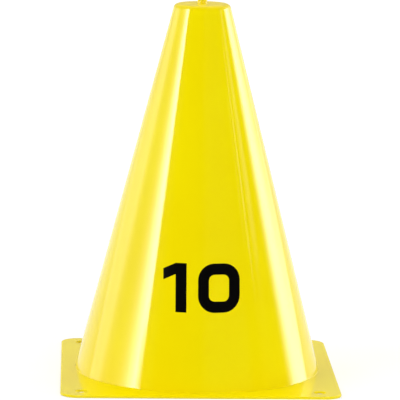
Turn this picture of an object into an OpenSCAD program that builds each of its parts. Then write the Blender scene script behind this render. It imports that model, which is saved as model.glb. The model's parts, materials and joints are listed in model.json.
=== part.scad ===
// Sports marker cone: a thin plastic cone on a square foot flange.
// Millimetres, +Z up, origin on the floor under the middle of the cone.

/* [Cone] */
// Height of the flat crown above the floor
cone_h = 230; // [180:1:300]
// Outer radius of the cone's foot, where it meets the flange
foot_r = 76.2; // [55:0.1:90]
// Outer radius of the cone at the crown, before its edge is rounded
crown_r = 17.1; // [12:0.1:30]
// Thickness of the cone's wall, square to the wall
wall_t = 1.5; // [0.8:0.1:3]
// Thickness of the flat crown
crown_t = 1.6; // [0.8:0.1:4]
// Radius that rounds the edge of the crown
crown_round_r = 3.2; // [0.5:0.1:8]

/* [Gate stub] */
// Diameter of the moulding stub in the middle of the crown
stub_d = 6; // [3:0.1:12]
// Height of the stub above the crown
stub_h = 2.6; // [1.5:0.1:6]
// Radius that rounds the top edge of the stub
stub_round_r = 0.8; // [0.2:0.1:1.2]

/* [Foot flange] */
// Distance from the cone's foot out to the flange's straight sides
flange_rim = 9; // [6:0.1:30]
// Thickness of the flange
flange_t = 1.5; // [1:0.1:4]
// Radius of the flange's four corners
flange_corner_r = 11; // [4:0.5:18]
// Radius that rounds the upper edge of the flange
flange_edge_r = 0.6; // [0.2:0.1:0.8]
// Radius that rounds the lower edge of the open mouth
mouth_round_r = 0.6; // [0.2:0.1:0.8]

/* [Peg holes] */
// Diameter of each ground-peg hole
peg_hole_d = 7.2; // [4:0.1:10]
// Distance from the flange's sides in to the middle of each peg hole
peg_inset = 13; // [11:0.5:16]
// Radius that rounds the upper lip of each peg hole
peg_lip_r = 0.4; // [0.1:0.1:0.5]

/* [Hidden] */

// Colour of the moulded plastic
cone_yellow = [0.95, 0.86, 0.03];

// Overrun of every cut past the face that it leaves
cut = 1;
// Smallest radius of a rounding on the inside of the wall
inner_round_least = 0.3;

// Side length of the square flange
flange_w = 2 * (foot_r + flange_rim);
// Distance from one peg hole to the next along a side
peg_spacing = flange_w - 2 * peg_inset;

// Lean of the wall from the vertical
lean = atan((foot_r - crown_r) / (cone_h - flange_t));
// The same radii and height on the inside of the wall
inner_foot_r = foot_r - wall_t / cos(lean);
inner_crown_z = cone_h - crown_t;
inner_crown_r = crown_r + crown_t * tan(lean) - wall_t / cos(lean);
inner_crown_round_r = max(crown_round_r - wall_t, inner_round_least);

$fn = 96;

// Half of a cone's section: a leaning side from the foot's radius, and a flat top with a round edge
module cone_section(foot, foot_z, top, top_z, round_r) {
    // Middle of the rounding, which touches the side and the top
    mid_z = top_z - round_r;
    mid_r = top + round_r * tan(lean) - round_r / cos(lean);
    polygon([
        [0, foot_z],
        [foot, foot_z],
        [mid_r + round_r * cos(lean), mid_z + round_r * sin(lean)],
        [mid_r, top_z],
        [0, top_z]
    ]);
    translate([mid_r, mid_z]) circle(r = round_r);
}

// A thin-walled cone with an open foot and a closed crown
module cone_wall() {
    rotate_extrude() {
        difference() {
            cone_section(foot_r, flange_t, crown_r, cone_h, crown_round_r);
            cone_section(
                inner_foot_r + cut * tan(lean), flange_t - cut,
                inner_crown_r, inner_crown_z, inner_crown_round_r
            );
        }
    }
}

// The short round stub that the moulding gate leaves on the crown
module gate_stub() {
    stub_r = stub_d / 2;
    translate([0, 0, cone_h - crown_t / 2]) {
        rotate_extrude() {
            square([stub_r, crown_t / 2 + stub_h - stub_round_r]);
            square([stub_r - stub_round_r, crown_t / 2 + stub_h]);
            translate([stub_r - stub_round_r, crown_t / 2 + stub_h - stub_round_r]) {
                circle(r = stub_round_r);
            }
        }
    }
}

module cone_shell() {
    color(cone_yellow) {
        union() {
            cone_wall();
            gate_stub();
        }
    }
}

// Section across the flange from its middle to its edge, with the upper corner rounded
module flange_section(reach) {
    shoulder_z = flange_t - flange_edge_r;
    square([reach, shoulder_z]);
    square([reach - flange_edge_r, flange_t]);
    translate([reach - flange_edge_r, shoulder_z]) circle(r = flange_edge_r);
}

// A flat square slab with its upper edge rounded all the way: four straight stretches and four corners
module flange_slab() {
    rail = flange_w - 2 * flange_corner_r;
    for (turn = [0, 90, 180, 270]) {
        rotate(turn) {
            translate([0, rail / 2, 0]) {
                rotate([90, 0, 0]) linear_extrude(rail) flange_section(flange_w / 2);
            }
            translate([rail / 2, rail / 2, 0]) {
                rotate_extrude() flange_section(flange_corner_r);
            }
        }
    }
}

// The ring that is cut away to leave a rounded edge of radius edge_r round a hole of radius hole_r
module edge_ring(hole_r, edge_r) {
    rotate_extrude() {
        difference() {
            translate([hole_r - cut, -edge_r]) square([edge_r + cut, edge_r + cut]);
            translate([hole_r + edge_r, -edge_r]) circle(r = edge_r);
        }
    }
}

// One ground-peg hole, with its upper lip rounded
module peg_hole() {
    translate([0, 0, -cut]) cylinder(d = peg_hole_d, h = flange_t + 2 * cut);
    translate([0, 0, flange_t]) edge_ring(peg_hole_d / 2, peg_lip_r);
}

module base_flange() {
    color(cone_yellow) {
        difference() {
            flange_slab();
            translate([0, 0, -cut]) cylinder(r = inner_foot_r, h = flange_t + 2 * cut);
            mirror([0, 0, 1]) edge_ring(inner_foot_r, mouth_round_r);
            for (x = [-1, 1], y = [-1, 1]) {
                translate([x * peg_spacing / 2, y * peg_spacing / 2, 0]) peg_hole();
            }
        }
    }
}

cone_shell();
base_flange();
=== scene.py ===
import json
import math
from contextlib import contextmanager

import bmesh
import bpy
from mathutils import Euler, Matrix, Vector


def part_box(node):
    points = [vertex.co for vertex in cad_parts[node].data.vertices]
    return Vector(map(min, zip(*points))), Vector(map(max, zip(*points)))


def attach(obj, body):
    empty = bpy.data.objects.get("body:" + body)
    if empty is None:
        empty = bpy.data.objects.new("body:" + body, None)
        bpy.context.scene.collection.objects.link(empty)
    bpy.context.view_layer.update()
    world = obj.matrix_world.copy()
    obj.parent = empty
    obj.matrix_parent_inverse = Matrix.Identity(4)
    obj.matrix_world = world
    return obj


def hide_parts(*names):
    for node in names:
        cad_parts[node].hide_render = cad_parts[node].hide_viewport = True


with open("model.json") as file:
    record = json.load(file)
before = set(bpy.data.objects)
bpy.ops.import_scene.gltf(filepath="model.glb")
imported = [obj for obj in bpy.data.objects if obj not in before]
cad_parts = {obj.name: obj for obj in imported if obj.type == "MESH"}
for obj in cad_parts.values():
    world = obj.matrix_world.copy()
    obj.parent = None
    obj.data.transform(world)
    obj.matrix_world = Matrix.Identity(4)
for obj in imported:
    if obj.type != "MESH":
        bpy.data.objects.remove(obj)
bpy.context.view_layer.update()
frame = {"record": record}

MM_PER_M = 1000

# Sizes from the frame, in metres
_, shell_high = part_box("cone_shell")
flange_low, flange_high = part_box("base_flange")
peg_holes = next(mount for mount in frame["record"]["mounts"] if mount["name"] == "peg_holes")
foot_r = shell_high.x
flange_t = flange_high.z
flange_w = flange_high.x - flange_low.x
peg_reach = peg_holes["dims"]["spacing_x_mm"] / 2 / MM_PER_M
peg_hole_r = peg_holes["dims"]["hole_r_mm"] / MM_PER_M

# Sizes of the moulding that the frame's boxes don't give
STUB_R = 0.0030
STUB_H = 0.0026
CROWN_R = 0.0171
WALL_T = 0.0015
CROWN_ROUND_R = 0.0032
STUB_TOP_ROUND_R = 0.0008
STUB_FOOT_ROUND_R = 0.0004
# The wall's foot sinks a hair into the flange and flares out over it. The bend at the top of the
# flare takes up that share of its height
FOOT_SINK = 0.00015
FOOT_FLARE = 0.00018
FLARE_H = 0.0003
FLARE_BEND = 0.8
FLANGE_CORNER_R = 0.011
FLANGE_EDGE_R = 0.0006
FLANGE_SOLE_R = 0.0002
MOUTH_LIP_R = 0.0006
PEG_LIP_R = 0.0004

crown_z = shell_high.z - STUB_H
lean = math.atan((foot_r - CROWN_R) / (crown_z - flange_t))
mouth_r = foot_r - WALL_T / math.cos(lean)

# The printed number. The flag of the one drops by that share of a stroke
NUMBER_H = 0.0290
NUMBER_STROKE = 0.0066
ONE_W = 0.0140
ZERO_W = 0.0255
ZERO_CORNER_R = 0.0100
DIGIT_GAP = 0.0070
ONE_FLAG_DROP = 0.55
NUMBER_Z = 0.0630
INK_T = 0.00004

# Sides of every round form on the cone, and of the small holes
SIDES = 256
HOLE_SIDES = 64
# Steps round each rounded edge
CROWN_STEPS = 10
FLARE_STEPS = 4
STUB_TOP_STEPS = 5
STUB_FOOT_STEPS = 3
FLANGE_CORNER_STEPS = 16
FLANGE_EDGE_STEPS = 5
SOLE_STEPS = 2
LIP_STEPS = 5
DIGIT_CORNER_STEPS = 10
# Overrun of a cutter past the faces that it cuts, and how far its lip starts above the face
OVERRUN = 0.002
LIP_PROUD = 0.000002

# Two places this close are the same place
NEAR = 0.00001
# Least upward part of the normal of a level face, and of one that is level to a hair
LEVEL_FACE = 0.9
DEAD_LEVEL_FACE = 0.9999
# Least share of its length by which an upright edge rises
UPRIGHT_EDGE = 0.99
# Edges that turn by more than this stay sharp
CREASE = math.radians(32)


def deselect():
    """Deselects every object."""
    bpy.ops.object.select_all(action="DESELECT")


def new_piece(name, size=(1, 1, 1)):
    """Names the primitive that was just added and puts its place and size into its mesh."""
    piece = bpy.context.active_object
    piece.name = piece.data.name = name
    piece.scale = size
    bpy.ops.object.transform_apply(location=True, rotation=True, scale=True)
    return piece


@contextmanager
def editing(piece):
    """Edit mode on one piece, with nothing selected to begin with."""
    deselect()
    piece.select_set(True)
    bpy.context.view_layer.objects.active = piece
    bpy.ops.object.mode_set(mode="EDIT")
    bpy.ops.mesh.select_all(action="DESELECT")
    yield piece
    bpy.ops.object.mode_set(mode="OBJECT")


def pick(piece, kind, wanted):
    """Selects those of the piece's vertices, edges or faces for which wanted says yes."""
    bpy.ops.mesh.select_mode(type=kind)
    bpy.ops.mesh.select_all(action="DESELECT")
    mesh = bmesh.from_edit_mesh(piece.data)
    elements = {"VERT": mesh.verts, "EDGE": mesh.edges, "FACE": mesh.faces}[kind]
    for element in elements:
        if wanted(element):
            element.select_set(True)
    mesh.select_flush_mode()
    bmesh.update_edit_mesh(piece.data)


def level(z):
    """Says yes to an edge that lies at height z."""
    return lambda edge: all(abs(vert.co.z - z) < NEAR for vert in edge.verts)


def rim(z, centre, from_r, to_r):
    """Says yes to an edge at height z whose ends are both that far from a centre."""
    middle = Vector(centre)
    return lambda edge: level(z)(edge) and all(
        from_r <= (vert.co.xy - middle).length <= to_r for vert in edge.verts
    )


def upright(edge):
    """Says yes to an edge that stands upright."""
    low, high = sorted(vert.co.z for vert in edge.verts)
    return high - low > (edge.verts[0].co - edge.verts[1].co).length * UPRIGHT_EDGE


def round_edges(radius, turn, segments):
    """Rounds the selected edges to a radius, where the surface turns by that angle."""
    bpy.ops.mesh.bevel(
        offset_type="OFFSET",
        offset=radius * math.tan(turn / 2),
        segments=segments,
        profile=0.5,
        affect="EDGES",
    )


def apply_modifier(piece, kind, **settings):
    """Puts one modifier on a piece and applies it."""
    deselect()
    piece.select_set(True)
    bpy.context.view_layer.objects.active = piece
    modifier = piece.modifiers.new(kind.lower(), kind)
    for setting, value in settings.items():
        setattr(modifier, setting, value)
    bpy.ops.object.modifier_apply(modifier=modifier.name)


def joined(pieces):
    """Joins the pieces into the last one."""
    deselect()
    for piece in pieces:
        piece.select_set(True)
    bpy.context.view_layer.objects.active = piece
    bpy.ops.object.join()
    return piece


def cut(piece, cutter, operation="DIFFERENCE"):
    """Cuts a piece with a cutter, or keeps what is inside it, and throws the cutter away."""
    apply_modifier(piece, "BOOLEAN", operation=operation, solver="EXACT", object=cutter)
    bpy.data.objects.remove(cutter)


def smooth(piece):
    """Smooth shading in which the large faces set the normals and sharp corners stay sharp."""
    deselect()
    piece.select_set(True)
    bpy.context.view_layer.objects.active = piece
    bpy.ops.object.shade_smooth_by_angle(angle=CREASE)
    apply_modifier(piece, "WEIGHTED_NORMAL", weight=100, keep_sharp=True)


def wall_radius(z):
    """Outer radius of the leaning wall at height z."""
    return foot_r - (z - flange_t) * math.tan(lean)


def side_of_cone(name, low_z, high_z, proud=0.0):
    """A slice of the cone between two heights, closed at both ends and a little proud of it."""
    radii = [wall_radius(z) + proud / math.cos(lean) for z in (low_z, high_z)]
    deselect()
    bpy.ops.mesh.primitive_cone_add(
        vertices=SIDES,
        radius1=radii[0],
        radius2=radii[1],
        depth=high_z - low_z,
        end_fill_type="NGON",
        location=(0, 0, (low_z + high_z) / 2),
    )
    return new_piece(name)


def model_moulded_cone():
    """The leaning wall, the rounded crown and the gate stub, all one closed skin."""
    cone = side_of_cone("moulded_cone", -OVERRUN, crown_z)
    crown_turn = math.pi / 2 - lean
    with editing(cone):
        pick(cone, "FACE", lambda face: face.normal.z < -LEVEL_FACE)
        bpy.ops.mesh.delete(type="ONLY_FACE")
        pick(cone, "EDGE", level(crown_z))
        round_edges(CROWN_ROUND_R, crown_turn, CROWN_STEPS)
    apply_modifier(cone, "SOLIDIFY", thickness=WALL_T, offset=-1, use_even_offset=True)

    foot_z = flange_t - FOOT_SINK
    flare_z = foot_z + FLARE_H
    crown_flat_r = CROWN_R - CROWN_ROUND_R * math.tan(crown_turn / 2)
    with editing(cone):
        # The foot: cut off level, closed and flared
        bpy.ops.mesh.select_all(action="SELECT")
        bpy.ops.mesh.bisect(plane_co=(0, 0, foot_z), plane_no=(0, 0, 1), clear_inner=True)
        pick(cone, "EDGE", level(foot_z))
        bpy.ops.mesh.bridge_edge_loops()
        bpy.ops.mesh.select_all(action="SELECT")
        bpy.ops.mesh.bisect(plane_co=(0, 0, flare_z), plane_no=(0, 0, 1))
        pick(cone, "EDGE", rim(foot_z, (0, 0), wall_radius(foot_z) - NEAR, foot_r * 2))
        spread = 1 + FOOT_FLARE / wall_radius(foot_z)
        bpy.ops.transform.resize(value=(spread, spread, 1), center_override=(0, 0, 0))
        pick(cone, "EDGE", rim(flare_z, (0, 0), wall_radius(flare_z) - NEAR, foot_r * 2))
        bpy.ops.mesh.bevel(
            offset_type="OFFSET",
            offset=FLARE_H * FLARE_BEND,
            segments=FLARE_STEPS,
            affect="EDGES",
        )

        # The gate stub: drawn up out of the crown's flat
        pick(cone, "FACE", lambda face: (
            face.normal.z > DEAD_LEVEL_FACE and face.calc_center_median().z > crown_z - NEAR
        ))
        bpy.ops.mesh.inset(thickness=crown_flat_r - STUB_R)
        bpy.ops.mesh.extrude_region_move(TRANSFORM_OT_translate={"value": (0, 0, STUB_H)})
        pick(cone, "EDGE", level(shell_high.z))
        round_edges(STUB_TOP_ROUND_R, math.pi / 2, STUB_TOP_STEPS)
        pick(cone, "EDGE", rim(crown_z, (0, 0), STUB_R - NEAR, STUB_R + NEAR))
        round_edges(STUB_FOOT_ROUND_R, math.pi / 2, STUB_FOOT_STEPS)
    smooth(cone)
    return cone


def hole_cutter(centre, radius, lip_r, sides, opens):
    """A round cutter through the foot flange, which flares to leave a rounded lip.

    It opens towards 1, the upper face, or -1, the lower face.
    """
    face_z = flange_t * (1 + opens) / 2
    start_z = flange_t * (1 - opens) / 2 - opens * OVERRUN
    deselect()
    bpy.ops.mesh.primitive_circle_add(
        vertices=sides, radius=radius, fill_type="NGON", location=(*centre, start_z)
    )
    cutter = new_piece("hole_cutter")
    reached_z, reached_r = start_z, radius
    with editing(cutter):
        bpy.ops.mesh.select_all(action="SELECT")
        for step in range(LIP_STEPS + 1):
            turn = math.pi / 2 * step / LIP_STEPS
            ring_z = face_z + opens * (lip_r * (math.sin(turn) - 1) + LIP_PROUD)
            ring_r = radius + lip_r * (1 - math.cos(turn))
            bpy.ops.mesh.extrude_region_move(
                TRANSFORM_OT_translate={"value": (0, 0, ring_z - reached_z)}
            )
            spread = ring_r / reached_r
            bpy.ops.transform.resize(value=(spread, spread, 1), center_override=(*centre, ring_z))
            reached_z, reached_r = ring_z, ring_r
        bpy.ops.mesh.extrude_region_move(
            TRANSFORM_OT_translate={"value": (0, 0, opens * OVERRUN)}
        )
        bpy.ops.mesh.select_all(action="SELECT")
        bpy.ops.mesh.normals_make_consistent(inside=False)
    return cutter


def model_foot_flange():
    """The square foot flange: round corners, the open mouth and four peg holes with soft lips."""
    deselect()
    bpy.ops.mesh.primitive_cube_add(size=1, location=(0, 0, flange_t / 2))
    flange = new_piece("foot_flange", (flange_w, flange_w, flange_t))
    with editing(flange):
        pick(flange, "EDGE", upright)
        round_edges(FLANGE_CORNER_R, math.pi / 2, FLANGE_CORNER_STEPS)
        pick(flange, "EDGE", level(flange_t))
        round_edges(FLANGE_EDGE_R, math.pi / 2, FLANGE_EDGE_STEPS)
        pick(flange, "EDGE", level(0))
        round_edges(FLANGE_SOLE_R, math.pi / 2, SOLE_STEPS)
    pegs = [(x, y) for x in (-peg_reach, peg_reach) for y in (-peg_reach, peg_reach)]
    cutters = [hole_cutter(peg, peg_hole_r, PEG_LIP_R, HOLE_SIDES, 1) for peg in pegs]
    cutters.append(hole_cutter((0, 0), mouth_r, MOUTH_LIP_R, SIDES, -1))
    cut(flange, joined(cutters))
    smooth(flange)
    return flange


def upright_plate(name, centre_x, width):
    """A flat plate as high as the number, upright in front of the cone and facing the viewer."""
    deselect()
    bpy.ops.mesh.primitive_plane_add(
        size=1, location=(centre_x, -foot_r, NUMBER_Z), rotation=(math.pi / 2, 0, 0)
    )
    return new_piece(name, (width, NUMBER_H, 1))


def press_back(digit):
    """Gives a flat digit its depth, from in front of the cone to behind the face of its wall."""
    bpy.ops.mesh.select_all(action="SELECT")
    bpy.ops.mesh.extrude_region_move(TRANSFORM_OT_translate={"value": (0, foot_r / 2, 0)})
    bpy.ops.mesh.select_all(action="SELECT")
    bpy.ops.mesh.normals_make_consistent(inside=False)


def model_printed_number():
    """A plain number ten in ink: where two upright digits pass through a thin skin on the wall."""
    one_x = -(DIGIT_GAP + ZERO_W) / 2
    zero_x = (DIGIT_GAP + ONE_W) / 2

    zero = upright_plate("zero", zero_x, ZERO_W)
    with editing(zero):
        bpy.ops.mesh.select_all(action="SELECT")
        bpy.ops.mesh.bevel(offset=ZERO_CORNER_R, segments=DIGIT_CORNER_STEPS, affect="VERTICES")
        pick(zero, "FACE", lambda face: True)
        bpy.ops.mesh.inset(thickness=NUMBER_STROKE)
        bpy.ops.mesh.delete(type="FACE")
        press_back(zero)

    stem_x = one_x + (ONE_W - NUMBER_STROKE) / 2
    one = upright_plate("one", stem_x, NUMBER_STROKE)
    flag_low = NUMBER_Z + NUMBER_H / 2 - NUMBER_STROKE
    with editing(one):
        bpy.ops.mesh.select_all(action="SELECT")
        bpy.ops.mesh.bisect(plane_co=(0, 0, flag_low), plane_no=(0, 0, 1))
        pick(one, "EDGE", lambda edge: all(
            vert.co.x < stem_x and vert.co.z > flag_low - NEAR for vert in edge.verts
        ))
        flag = (NUMBER_STROKE - ONE_W, 0, -NUMBER_STROKE * ONE_FLAG_DROP)
        bpy.ops.mesh.extrude_region_move(TRANSFORM_OT_translate={"value": flag})
        press_back(one)

    ink = side_of_cone("printed_number", NUMBER_Z - NUMBER_H, NUMBER_Z + NUMBER_H, proud=INK_T)
    with editing(ink):
        pick(ink, "FACE", lambda face: abs(face.normal.z) > LEVEL_FACE)
        bpy.ops.mesh.delete(type="ONLY_FACE")
    apply_modifier(ink, "SOLIDIFY", thickness=2 * INK_T, offset=-1, use_even_offset=True)
    cut(ink, joined([zero, one]), "INTERSECT")
    smooth(ink)
    return ink


# The Mix node's colour sockets: its first and second colour, and its result
FIRST_COLOUR = 6
SECOND_COLOUR = 7
MIXED_COLOUR = 2


class Value:
    """A shader node's output, so that sums on it are written as plain expressions."""

    def __init__(self, recipe, socket):
        self.recipe = recipe
        self.socket = socket

    def maths(self, operation, *terms):
        """Adds the Math node for one operation on the terms."""
        return self.recipe.node(
            "ShaderNodeMath", {"operation": operation}, dict(enumerate(terms))
        )

    def __add__(self, other):
        return self.maths("ADD", self, other)

    def __sub__(self, other):
        return self.maths("SUBTRACT", self, other)

    def __rsub__(self, other):
        return self.maths("SUBTRACT", other, self)

    def __mul__(self, other):
        return self.maths("MULTIPLY", self, other)

    __radd__ = __add__
    __rmul__ = __mul__

    def clamped(self):
        """The value, held between 0 and 1."""
        return self.recipe.node("ShaderNodeClamp", {}, {"Value": self})


class Recipe:
    """The node tree of a material, of a lamp or of the world."""

    def __init__(self, owner):
        owner.use_nodes = True
        self.tree = owner.node_tree
        self.tree.nodes.clear()

    def node(self, kind, settings, sockets, output=0):
        """Adds a node with its settings, then its sockets' values or links; gives one output."""
        made = self.tree.nodes.new(kind)
        for setting, value in settings.items():
            setattr(made, setting, value)
        for name, value in sockets.items():
            if isinstance(value, Value):
                self.tree.links.new(value.socket, made.inputs[name])
            else:
                made.inputs[name].default_value = value
        return Value(self, made.outputs[output]) if made.outputs else made

    def place(self, scale=(1, 1, 1)):
        """The place on the object, in metres times a scale."""
        where = self.node("ShaderNodeTexCoord", {}, {}, "Object")
        return self.node("ShaderNodeMapping", {}, {"Vector": where, "Scale": scale})

    def height(self):
        """Height above the floor, in metres."""
        return self.node("ShaderNodeSeparateXYZ", {}, {"Vector": self.place()}, "Z")

    def noise(self, scale, detail=2.0, roughness=0.5, stretch=(1, 1, 1)):
        """Noise from 0 to 1, with about `scale` blotches to the metre."""
        sockets = {
            "Vector": self.place(stretch), "Scale": scale, "Detail": detail, "Roughness": roughness
        }
        return self.node("ShaderNodeTexNoise", {}, sockets, "Fac")

    def step(self, value, low, high):
        """Rises smoothly from 0 to 1 as the value goes from low to high."""
        return self.node(
            "ShaderNodeMapRange",
            {"interpolation_type": "SMOOTHSTEP"},
            {"Value": value, "From Min": low, "From Max": high},
        )

    def blend(self, factor, first, second):
        """Goes from the first colour to the second as the factor goes from 0 to 1."""
        sockets = {"Factor": factor, FIRST_COLOUR: first, SECOND_COLOUR: second}
        return self.node("ShaderNodeMix", {"data_type": "RGBA"}, sockets, MIXED_COLOUR)

    def relief(self, height, strength):
        """Bumps of a height in metres."""
        sockets = {"Height": height, "Distance": 1.0, "Strength": strength}
        return self.node("ShaderNodeBump", {}, sockets)

    def surface(self, colour, roughness, ior, bump):
        """Ends a material in one opaque, shiny surface."""
        sockets = {"Base Color": colour, "Roughness": roughness, "IOR": ior, "Normal": bump}
        shader = self.node("ShaderNodeBsdfPrincipled", {}, sockets)
        self.node("ShaderNodeOutputMaterial", {}, {"Surface": shader})

    def glow(self, strength):
        """Plain white light of a strength."""
        return self.node("ShaderNodeEmission", {}, {"Color": WHITE, "Strength": strength})


WHITE = (1, 1, 1, 1)
PALE_YELLOW = (0.950, 0.797, 0.0010, 1)
DEEP_YELLOW = (0.930, 0.752, 0.0008, 1)
# Painted shade: the crown's top is coloured a darker, warmer yellow than the wall
CROWN_SHADE_YELLOW = (0.870, 0.680, 0.0008, 1)
INK_BLACK = (0.0020, 0.0018, 0.0018, 1)
FLOOR_GREY = (0.60, 0.60, 0.60, 1)

# Gloss of the plastic and of the ink, and the roughness that each kind of mark adds to it
PLASTIC_IOR = 1.5
PLASTIC_ROUGHNESS = 0.055
FLOW_ROUGHNESS = 0.03
SCUFF_ROUGHNESS = 0.05
SCRATCH_ROUGHNESS = 0.12
CROWN_ROUGHNESS = 0.22
INK_IOR = 1.45
INK_ROUGHNESS = 0.13
MOTTLE_ROUGHNESS = 0.10
# Height of the relief that each kind of unevenness gives, in metres, and how much of it shows
CLOUD_RELIEF = 0.00030
FLOW_RELIEF = 0.000020
PEEL_RELIEF = 0.0000012
PLASTIC_RELIEF_SHOWN = 0.35
MOTTLE_RELIEF = 0.000002
INK_RELIEF_SHOWN = 0.4
# Blotches to the metre of each kind of unevenness
CLOUDS = 14
FLOW_LINES = 40
SCUFFS = 60
SCRATCHES = 700
PEEL = 900
INK_MOTTLES = 1500
# Flow lines and scratches run up the wall, because their noise is squeezed less that way
FLOW_STRETCH = (1, 1, 0.15)
SCRATCH_STRETCH = (1, 1, 0.06)
# The part of its noise, from 0 to 1, over which each of these comes in
CLOUD_RANGE = (0.3, 0.7)
SCUFF_RANGE = (0.60, 0.75)
SCRATCH_RANGE = (0.66, 0.74)


def glossy_yellow_plastic():
    """Moulded polyethylene: even colour, a fine flow in its gloss and a few handling marks, with a
    matt crown whose top is given painted shade as a darker, warmer yellow.
    """
    plastic = bpy.data.materials.new("glossy_yellow_plastic")
    recipe = Recipe(plastic)
    cloud = recipe.noise(CLOUDS, detail=3)
    flow = recipe.noise(FLOW_LINES, detail=2, stretch=FLOW_STRETCH)
    peel = recipe.noise(PEEL, detail=2)
    scuffs = recipe.step(recipe.noise(SCUFFS, detail=6, roughness=0.7), *SCUFF_RANGE)
    scratches = recipe.noise(SCRATCHES, detail=3, stretch=SCRATCH_STRETCH)
    scratches = recipe.step(scratches, *SCRATCH_RANGE)
    # Mask of the crown's top: it makes the crown matter, and it also paints shade there as a
    # darker, warmer yellow
    matt_shaded_crown = recipe.step(recipe.height(), crown_z - CROWN_ROUND_R, crown_z)
    colour = recipe.blend(recipe.step(cloud, *CLOUD_RANGE), DEEP_YELLOW, PALE_YELLOW)
    colour = recipe.blend(matt_shaded_crown, colour, CROWN_SHADE_YELLOW)
    roughness = (
        PLASTIC_ROUGHNESS
        + FLOW_ROUGHNESS * flow
        + SCUFF_ROUGHNESS * scuffs
        + SCRATCH_ROUGHNESS * (scratches * scuffs)
        + CROWN_ROUGHNESS * matt_shaded_crown
    )
    height = CLOUD_RELIEF * cloud + FLOW_RELIEF * flow + PEEL_RELIEF * peel
    bump = recipe.relief(height, PLASTIC_RELIEF_SHOWN)
    recipe.surface(colour, roughness, PLASTIC_IOR, bump)
    return plastic


def black_pad_ink():
    """A thin glossy film of ink, a little uneven where the pad laid it down."""
    ink = bpy.data.materials.new("black_pad_ink")
    recipe = Recipe(ink)
    mottle = recipe.noise(INK_MOTTLES, detail=3)
    bump = recipe.relief(MOTTLE_RELIEF * mottle, INK_RELIEF_SHOWN)
    recipe.surface(INK_BLACK, INK_ROUGHNESS + MOTTLE_ROUGHNESS * mottle, INK_IOR, bump)
    return ink


def white_floor():
    """A pale studio floor that runs out to plain white and keeps the object's shadow."""
    paper = bpy.data.materials.new("white_floor")
    recipe = Recipe(paper)
    camera_ray, glossy_ray, transmission_ray = (
        recipe.node("ShaderNodeLightPath", {}, {}, ray)
        for ray in ("Is Camera Ray", "Is Glossy Ray", "Is Transmission Ray")
    )
    seen = (camera_ray + glossy_ray + transmission_ray).clamped()
    matt = recipe.node("ShaderNodeBsdfDiffuse", {}, {"Color": FLOOR_GREY})
    shader = recipe.node("ShaderNodeAddShader", {}, {0: matt, 1: recipe.glow(FLOOR_LIFT * seen)})
    recipe.node("ShaderNodeOutputMaterial", {}, {"Surface": shader})
    return paper


FLOOR_REACH = 60.0
# Brightness that the floor adds to its own where it is seen, so that it runs out to white
FLOOR_LIFT = 0.375

# Azimuth 0 is the viewer's side and 90 the right, in degrees. Brightness 1 is a lit white card.
# The broad lights light the colours: name, azimuth, elevation, spread, brightness
BROAD_LIGHTS = [
    ("left_light", -70, 25, 50, 0.51),
    ("right_light", 30, 25, 50, 0.44),
    ("right_side_light", 90, 25, 50, 0.22),
    ("back_light", 180, 60, 90, 0.645),
]

# The bright walls of the studio are rows of softboxes that show only in the gloss: name, lowest
# and highest elevation, and the brightness at each azimuth
BRIGHT_WALLS = [
    ("left_rear_wall", 2.1, 14, [
        (-155, 0.5), (-140, 0.6), (-125, 1.35), (-109, 2.1), (-102, 1.0),
    ]),
    ("left_wall", 3.5, 30, [
        (-102, 1.0), (-94, 0.72), (-86, 0.9), (-80, 1.5), (-74, 3.3), (-68, 7.8), (-63, 12.4),
    ]),
    ("left_wall_edge", 14, 30, [(-63, 12.8), (-57.8, 12.0)]),
    ("left_wall_low_edge", 3.5, 14, [(-63, 11.5), (-60.5, 7.5), (-57, 1.0)]),
    ("right_wall", 0.7, 24, [
        (93, 0.1), (96, 1.1), (100, 3.8), (103.5, 6.6), (107, 7.2), (113, 6.3),
        (123, 3.5), (132, 1.6), (142, 0.7), (155, 0.6),
    ]),
    ("right_hairline", 15.2, 18, [(60.8, 1.0), (61.9, 1.0)]),
    ("right_thin_line", 14.4, 18, [(67.0, 3.4), (68.4, 3.4)]),
    ("right_thin_line_low", 13.5, 14.4, [(66.6, 1.5), (68.0, 1.5)]),
    ("right_line", 13, 18, [(73.5, 0.35), (79, 1.2), (84, 0.25)]),
    ("right_line_low", 12.2, 13, [(73.5, 0.2), (79, 0.65), (84, 0.15)]),
]
LAMP_DISTANCE = 12.0

# Brightness of the dim walls behind the object, low down and higher up, and in front of it
STUDIO_BACK_LOW = 0.26
STUDIO_BACK = 0.42
STUDIO_FRONT = 0.003
# Where they change, as the upward and rearward parts of a direction: from the white horizon to
# the walls, from the low back to the high one, and from the front to the back
HORIZON = (0.02, 0.06)
BACK_RISE = (0.09, 0.16)
BACK_START = (-0.1, 0.6)

# The pieces whose gloss shows the softboxes. The flat flange isn't one of them, because seen from
# the sides they would blot out its colour
softbox_mirrors = bpy.data.collections.new("softbox_mirrors")


def towards(azimuth, elevation):
    """The unit vector from the object to a place in the studio, from angles in degrees."""
    turn, rise = math.radians(azimuth), math.radians(elevation)
    return Vector((
        math.sin(turn) * math.cos(rise), -math.cos(turn) * math.cos(rise), math.sin(rise)
    ))


def new_lamp(name, kind, direction):
    """Adds a lamp in that direction from the object, facing it and unseen by the camera."""
    deselect()
    bpy.ops.object.light_add(type=kind, location=direction * LAMP_DISTANCE)
    lamp = bpy.context.active_object
    lamp.name = name
    lamp.rotation_euler = direction.to_track_quat("Z", "Y").to_euler()
    lamp.visible_camera = False
    return lamp


def width_at_lamp(degrees):
    """Width of a lamp that fills an angle, seen from the object."""
    return 2 * LAMP_DISTANCE * math.tan(math.radians(degrees) / 2)


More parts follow.
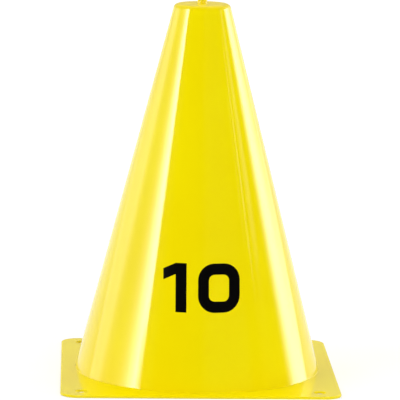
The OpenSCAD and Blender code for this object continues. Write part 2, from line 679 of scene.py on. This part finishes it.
def set_softbox(name, elevations, start, end):
    """A softbox between two azimuths, whose brightness goes evenly from side to side."""
    (from_azimuth, from_brightness), (to_azimuth, to_brightness) = start, end
    lamp = new_lamp(name, "AREA", towards((from_azimuth + to_azimuth) / 2, sum(elevations) / 2))
    lamp.visible_diffuse = False
    lamp.light_linking.receiver_collection = softbox_mirrors
    lamp.data.shape = "RECTANGLE"
    lamp.data.size = width_at_lamp(to_azimuth - from_azimuth)
    lamp.data.size_y = width_at_lamp(elevations[1] - elevations[0])
    # With this power, a strength of 1 is a brightness of 1
    lamp.data.energy = math.pi * lamp.data.size * lamp.data.size_y
    recipe = Recipe(lamp.data)
    place = recipe.node("ShaderNodeNewGeometry", {}, {}, "Parametric")
    across = recipe.node("ShaderNodeSeparateXYZ", {}, {"Vector": place}, "X")
    brightness = from_brightness + (to_brightness - from_brightness) * across
    recipe.node("ShaderNodeOutputLight", {}, {"Surface": recipe.glow(brightness)})


def set_bright_wall(name, from_elevation, to_elevation, stops):
    """A row of softboxes, one from each stop to the next."""
    for number, (start, end) in enumerate(zip(stops, stops[1:]), 1):
        set_softbox(f"{name}_{number}", (from_elevation, to_elevation), start, end)


def set_broad_light(name, azimuth, elevation, spread, brightness):
    """A broad soft light that lights the plastic but leaves no reflection in its gloss."""
    lamp = new_lamp(name, "SUN", towards(azimuth, elevation))
    lamp.visible_glossy = False
    lamp.data.angle = math.radians(spread)
    lamp.data.energy = brightness * math.pi


def set_studio_walls():
    """Dim walls, darker in front than behind, over a white horizon that joins the floor."""
    world = bpy.data.worlds.new("studio_walls")
    bpy.context.scene.world = world
    recipe = Recipe(world)
    direction = recipe.node("ShaderNodeTexCoord", {}, {}, "Generated")
    depth = recipe.node("ShaderNodeSeparateXYZ", {}, {"Vector": direction}, "Y")
    height = recipe.node("ShaderNodeSeparateXYZ", {}, {"Vector": direction}, "Z")
    behind = recipe.step(depth, *BACK_START)
    above = recipe.step(height, *HORIZON)
    high_up = recipe.step(height, *BACK_RISE)
    back = STUDIO_BACK_LOW + (STUDIO_BACK - STUDIO_BACK_LOW) * high_up
    walls = STUDIO_FRONT + (back - STUDIO_FRONT) * behind
    brightness = 1 - (1 - walls) * above
    light = recipe.node("ShaderNodeBackground", {}, {"Color": WHITE, "Strength": brightness})
    recipe.node("ShaderNodeOutputWorld", {}, {"Surface": light})


# Angles in degrees, distance and aim in metres, lens and sensor in millimetres
CAMERA_AZIMUTH = -2.19
CAMERA_ELEVATION = 9.35
CAMERA_DISTANCE = 2.069
CAMERA_ROLL = 0.88
CAMERA_AIM = Vector((0.0004, 0, 0.1073))
LENS = 299.4
SENSOR_W = 36


def set_camera():
    """The camera at the viewing angle of the photograph."""
    direction = towards(CAMERA_AZIMUTH, CAMERA_ELEVATION)
    deselect()
    bpy.ops.object.camera_add(location=CAMERA_AIM + direction * CAMERA_DISTANCE)
    camera = bpy.context.active_object
    facing = direction.to_track_quat("Z", "Y")
    roll = Euler((0, 0, math.radians(CAMERA_ROLL))).to_quaternion()
    camera.rotation_euler = (facing @ roll).to_euler()
    camera.data.lens = LENS
    camera.data.sensor_width = SENSOR_W
    bpy.context.scene.camera = camera


def lay_floor():
    """A wide flat floor, which isn't part of the object."""
    deselect()
    bpy.ops.mesh.primitive_plane_add(size=FLOOR_REACH)
    floor = new_piece("floor")
    floor.data.materials.append(white_floor())


set_camera()
lay_floor()
set_studio_walls()
for light in BROAD_LIGHTS:
    set_broad_light(*light)
for wall in BRIGHT_WALLS:
    set_bright_wall(*wall)

yellow_plastic = glossy_yellow_plastic()

moulded_cone = model_moulded_cone()
moulded_cone.data.materials.append(yellow_plastic)
softbox_mirrors.objects.link(moulded_cone)
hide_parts("cone_shell")
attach(moulded_cone, "root")

foot_flange = model_foot_flange()
foot_flange.data.materials.append(yellow_plastic)
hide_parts("base_flange")
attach(foot_flange, "root")

printed_number = model_printed_number()
printed_number.data.materials.append(black_pad_ink())
softbox_mirrors.objects.link(printed_number)
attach(printed_number, "root")

bpy.context.scene.view_settings.view_transform = "Standard"
